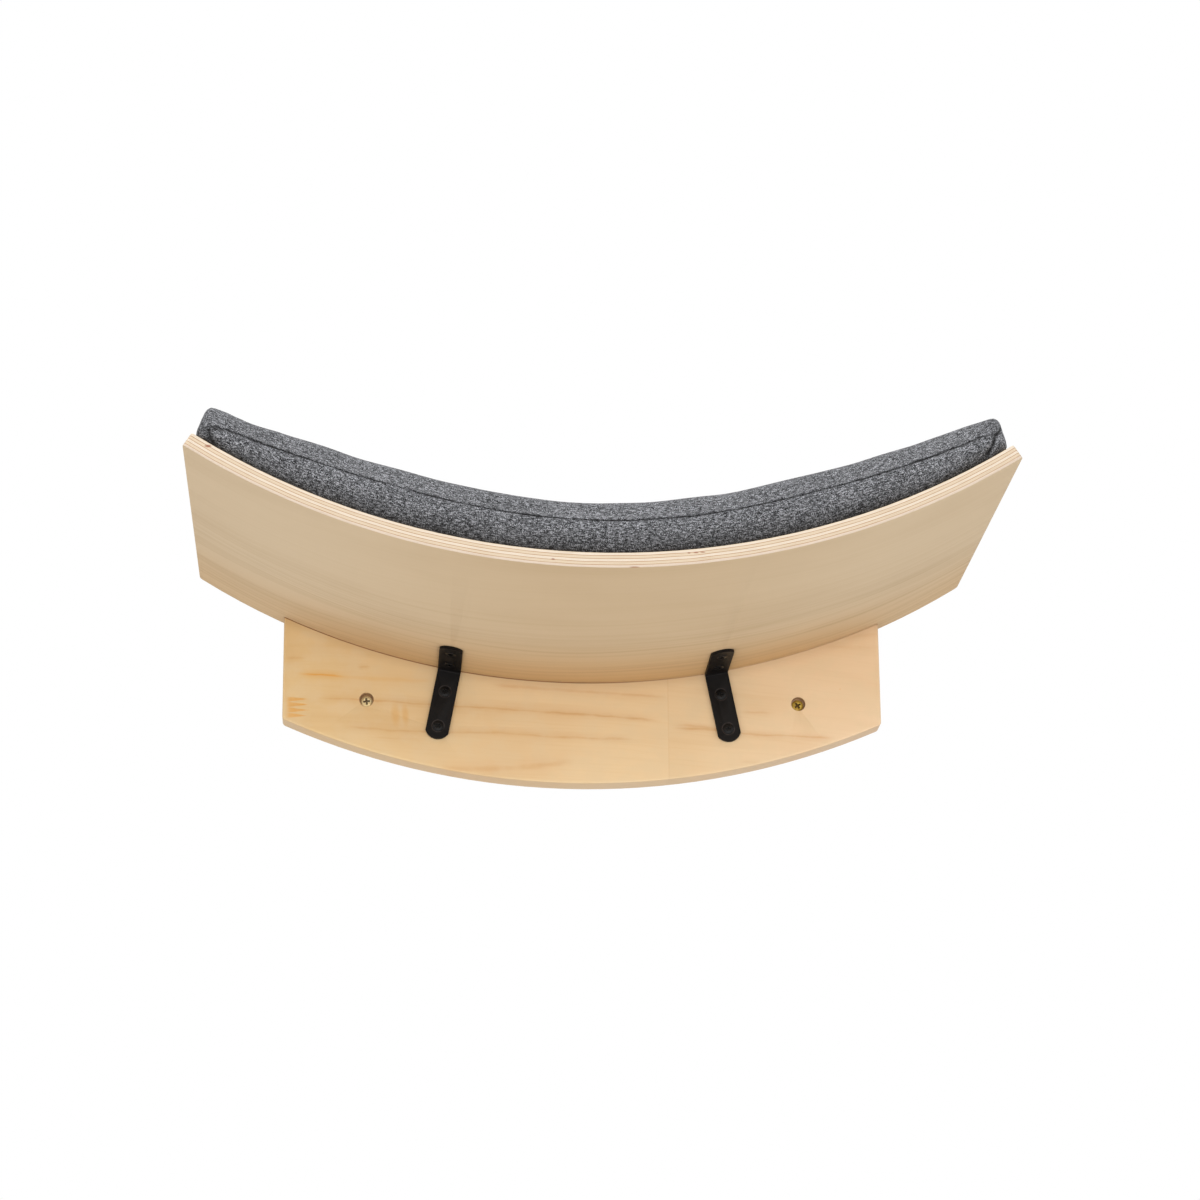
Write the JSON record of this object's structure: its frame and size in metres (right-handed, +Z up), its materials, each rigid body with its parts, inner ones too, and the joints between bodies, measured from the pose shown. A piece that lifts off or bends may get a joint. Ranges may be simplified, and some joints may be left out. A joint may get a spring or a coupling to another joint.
{
  "type": "wall-mounted cat bed",
  "caption": "Curved wall shelf bed for a cat: bent plywood board on a pine wall plate with steel corner brackets and a loose upholstered cushion.",
  "frame": {"origin": "on the wall, midway between the two wall screws, at the wall plate's back face", "axes": "+X to the right along the wall as seen from the room, +Y into the wall, +Z up; the front of the bed faces -Y"},
  "size_m": [0.4996, 0.2845, 0.17],
  "materials": {
    "plywood": "satin",
    "pine": "satin",
    "bracket_paint": "satin",
    "screw_paint": "satin",
    "wall_screw_zinc": "satin",
    "cover_fabric": "matte",
    "foam": "matte",
    "hook_tape": "matte",
    "loop_tape": "matte",
    "zip_tape": "matte",
    "zip_coil": "satin",
    "zip_metal": "satin"
  },
  "bodies": {
    "shelf": {"shelf_board": "plywood", "wall_plate": "pine", "left_bracket": "bracket_paint", "right_bracket": "bracket_paint", "left_shelf_screw_rear": "screw_paint", "left_shelf_screw_front": "screw_paint", "left_plate_screw_upper": "screw_paint", "left_plate_screw_lower": "screw_paint", "right_shelf_screw_rear": "screw_paint", "right_shelf_screw_front": "screw_paint", "right_plate_screw_upper": "screw_paint", "right_plate_screw_lower": "screw_paint", "left_wall_screw": "wall_screw_zinc", "right_wall_screw": "wall_screw_zinc", "left_hook_strip": "hook_tape", "right_hook_strip": "hook_tape"},
    "cushion": {"foam_core": "foam", "cushion_top_panel": "cover_fabric", "cushion_boxing": "cover_fabric", "cushion_bottom_panel": "cover_fabric", "left_loop_strip": "loop_tape", "right_loop_strip": "loop_tape", "zip_tape_upper": "zip_tape", "zip_tape_lower": "zip_tape", "zip_coil_upper": "zip_coil", "zip_coil_lower": "zip_coil", "zip_stops": "zip_metal"},
    "zip_slider": {"zip_slider": "zip_metal"},
    "zip_pull": {"zip_pull": "zip_metal"}
  },
  "joints": [
    {"name": "cushion_lift", "type": "slide", "parent": "shelf", "child": "cushion", "axis": [0, 0, 1], "range_m": [0, 0.15]},
    {"name": "zip_slide", "type": "hinge", "parent": "cushion", "child": "zip_slider", "pos_m": [0, -0.0066, 0.477], "axis": [0, -1, 0], "range_deg": [0, 46]},
    {"name": "zip_pull_flip", "type": "hinge", "parent": "zip_slider", "child": "zip_pull", "pos_m": [-0.17392, -0.00335, 0.06826], "axis": [0.3915, 0, 0.9202], "range_deg": [0, 180]}
  ]
}
